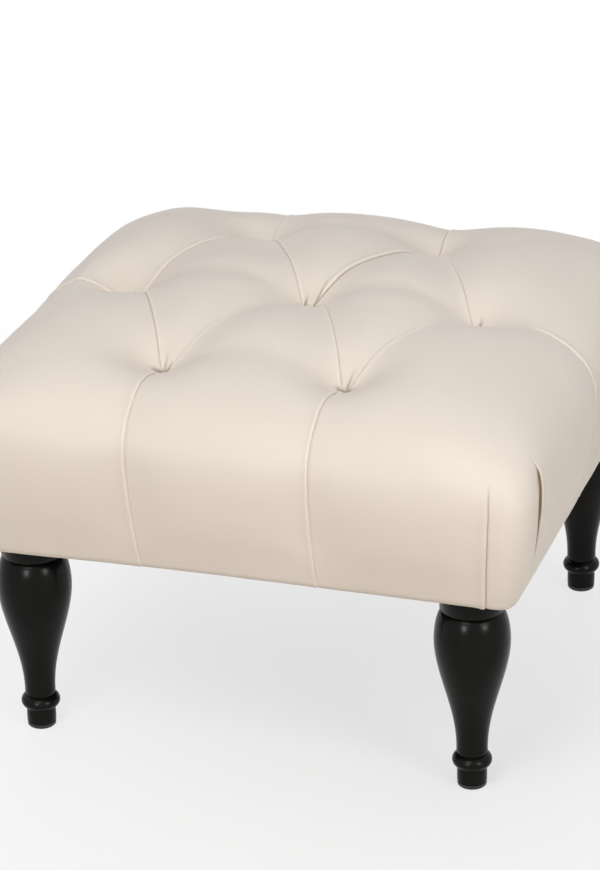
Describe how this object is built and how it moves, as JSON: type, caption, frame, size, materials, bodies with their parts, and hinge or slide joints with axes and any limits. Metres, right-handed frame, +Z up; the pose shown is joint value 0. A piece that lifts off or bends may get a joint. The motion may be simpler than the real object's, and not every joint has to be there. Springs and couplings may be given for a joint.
{
  "type": "footstool",
  "caption": "Square footstool with a deep-tufted one-piece cover over a padded wooden frame, on turned screw-in legs.",
  "frame": {"origin": "on the floor, under the middle of the seat's outline", "axes": "+Z up, front faces -Y, right side faces +X"},
  "size_m": [0.5292, 0.5292, 0.3802],
  "materials": {
    "cover": "satin",
    "foam": "matte",
    "pine": "matte",
    "plywood": "matte",
    "painted_wood": "gloss",
    "steel": "satin",
    "dust_cloth": "matte",
    "twine": "matte",
    "glide": "matte"
  },
  "bodies": {
    "root": {"block_screw_1": "steel", "block_screw_2": "steel", "block_screw_3": "steel", "block_screw_4": "steel", "block_screw_5": "steel", "block_screw_6": "steel", "block_screw_7": "steel", "block_screw_8": "steel", "corner_block_back_left": "pine", "corner_block_back_right": "pine", "corner_block_front_left": "pine", "corner_block_front_right": "pine", "deck_panel": "plywood", "deck_screw_1": "steel", "deck_screw_2": "steel", "deck_screw_3": "steel", "deck_screw_4": "steel", "deck_screw_5": "steel", "deck_screw_6": "steel", "deck_screw_7": "steel", "deck_screw_8": "steel", "dust_cloth": "dust_cloth", "foam_block": "foam", "glide_back_left": "glide", "glide_back_right": "glide", "glide_front_left": "glide", "glide_front_right": "glide", "hanger_bolt_back_left": "steel", "hanger_bolt_back_right": "steel", "hanger_bolt_front_left": "steel", "hanger_bolt_front_right": "steel", "leg_back_left": "painted_wood", "leg_back_right": "painted_wood", "leg_front_left": "painted_wood", "leg_front_right": "painted_wood", "rail_back": "pine", "rail_front": "pine", "rail_left": "pine", "rail_right": "pine", "seat_cover": "cover", "side_foam": "foam", "tee_nut_back_left": "steel", "tee_nut_back_right": "steel", "tee_nut_front_left": "steel", "tee_nut_front_right": "steel", "tuft_twine_1": "twine", "tuft_twine_2": "twine", "tuft_twine_3": "twine", "tuft_twine_4": "twine", "tuft_twine_5": "twine", "tuft_twine_6": "twine", "tuft_twine_7": "twine", "tuft_washer_1": "steel", "tuft_washer_2": "steel", "tuft_washer_3": "steel", "tuft_washer_4": "steel", "tuft_washer_5": "steel", "tuft_washer_6": "steel", "tuft_washer_7": "steel"}
  },
  "joints": []
}
